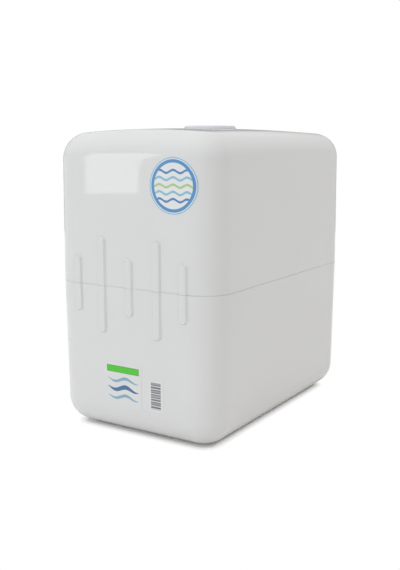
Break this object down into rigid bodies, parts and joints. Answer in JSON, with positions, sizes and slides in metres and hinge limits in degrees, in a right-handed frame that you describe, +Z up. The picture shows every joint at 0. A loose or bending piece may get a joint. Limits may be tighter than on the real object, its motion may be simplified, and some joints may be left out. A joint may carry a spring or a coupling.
{
  "type": "water purifier",
  "caption": "Closed-case under-counter water purifier: lift-off cover, top cap, pressure tank, inline cartridges and membrane, with push-in tube connections at the back.",
  "frame": {"origin": "on the floor, under the middle of the case", "axes": "+Z up, -Y towards the front with the ribs and stickers, +X to the right seen from the front"},
  "size_m": [0.268, 0.409, 0.424],
  "materials": {
    "case_white": "gloss moulded ABS",
    "cap_grey": "gloss moulded ABS",
    "rubber_black": "matt moulded rubber",
    "badge_film": "printed vinyl film",
    "label_film": "printed vinyl film",
    "screw_steel": "zinc-plated steel",
    "tank_paint": "powder-coated steel",
    "valve_brass": "turned brass",
    "cradle_black": "moulded polypropylene",
    "fitting_white": "moulded acetal",
    "lever_blue": "moulded polypropylene",
    "cartridge_white": "moulded polypropylene",
    "membrane_film": "wound film",
    "bracket_paint": "powder-coated steel",
    "clip_white": "moulded polypropylene",
    "collet_blue": "moulded acetal",
    "collet_grey": "moulded acetal",
    "collet_red": "moulded acetal",
    "sediment_fibre": "melt-blown fibre",
    "carbon_black": "pressed or loose carbon",
    "mineral_beads": "ceramic beads",
    "tube_white": "extruded polyethylene"
  },
  "bodies": {
    "case": {"base_shell": "case_white", "front_label": "label_film", "bar_label": "label_film", "rubber_feet": "rubber_black", "foot_screws": "screw_steel", "bracket_screws": "screw_steel", "shutoff_screws": "screw_steel", "tank_shell": "tank_paint", "tank_port": "screw_steel", "tank_diaphragm": "rubber_black", "air_valve": "valve_brass", "tank_cradle": "cradle_black", "tank_valve_body": "fitting_white", "valve_outlet": "fitting_white", "membrane_housing": "cartridge_white", "membrane_cap": "cartridge_white", "membrane_ring": "rubber_black", "membrane_element": "membrane_film", "membrane_core_tube": "fitting_white", "filter_bracket": "bracket_paint", "cartridge_clips": "clip_white", "cartridge_elbows": "fitting_white", "elbow_collets": "collet_blue", "bulkhead_fittings": "fitting_white", "bulkhead_nuts": "fitting_white", "shutoff_body": "fitting_white", "shutoff_cover": "fitting_white", "tank_tee": "fitting_white", "flow_restrictor": "fitting_white", "sediment_cartridge": "cartridge_white", "carbon_block_cartridge": "cartridge_white", "granular_carbon_cartridge": "cartridge_white", "post_carbon_cartridge": "cartridge_white", "mineral_cartridge": "cartridge_white", "sediment_core": "sediment_fibre", "carbon_block": "carbon_black", "carbon_granules": "carbon_black", "post_carbon_granules": "carbon_black", "mineral_granules": "mineral_beads", "jumper_tubes": "tube_white", "feed_tube": "tube_white", "membrane_feed_tube": "tube_white", "permeate_tube": "tube_white", "tank_tubes": "tube_white", "polish_tube": "tube_white", "reject_tube": "tube_white", "drain_tube": "tube_white", "inlet_tube": "tube_white", "faucet_tube": "tube_white"},
    "cover": {"upper_cover": "case_white", "round_badge": "badge_film"},
    "cap": {"top_cap": "cap_grey", "cap_seal": "rubber_black"},
    "tank_lever": {"valve_lever": "lever_blue", "valve_ball": "screw_steel"},
    "drain_release": {"drain_collet": "collet_grey"},
    "inlet_release": {"inlet_collet": "collet_red"},
    "faucet_release": {"faucet_collet": "collet_blue"},
    "plunger": {"shutoff_plunger": "fitting_white"}
  },
  "joints": [
    {"name": "cover_lift", "type": "slide", "parent": "case", "child": "cover", "axis": [0, 0, 1], "range_m": [0, 0.25]},
    {"name": "cap_lift", "type": "slide", "parent": "cover", "child": "cap", "axis": [0, 0, 1], "range_m": [0, 0.06]},
    {"name": "lever_turn", "type": "hinge", "parent": "case", "child": "tank_lever", "pos_m": [0, 0.0825, 0.352], "axis": [0, 0, 1], "range_deg": [0, 90]},
    {"name": "drain_collet_press", "type": "slide", "parent": "case", "child": "drain_release", "axis": [0, -1, 0], "range_m": [0, 0.0015]},
    {"name": "inlet_collet_press", "type": "slide", "parent": "case", "child": "inlet_release", "axis": [0, -1, 0], "range_m": [0, 0.0015]},
    {"name": "faucet_collet_press", "type": "slide", "parent": "case", "child": "faucet_release", "axis": [0, -1, 0], "range_m": [0, 0.0015]},
    {"name": "plunger_travel", "type": "slide", "parent": "case", "child": "plunger", "axis": [0, 0, -1], "range_m": [0, 0.0015]}
  ]
}
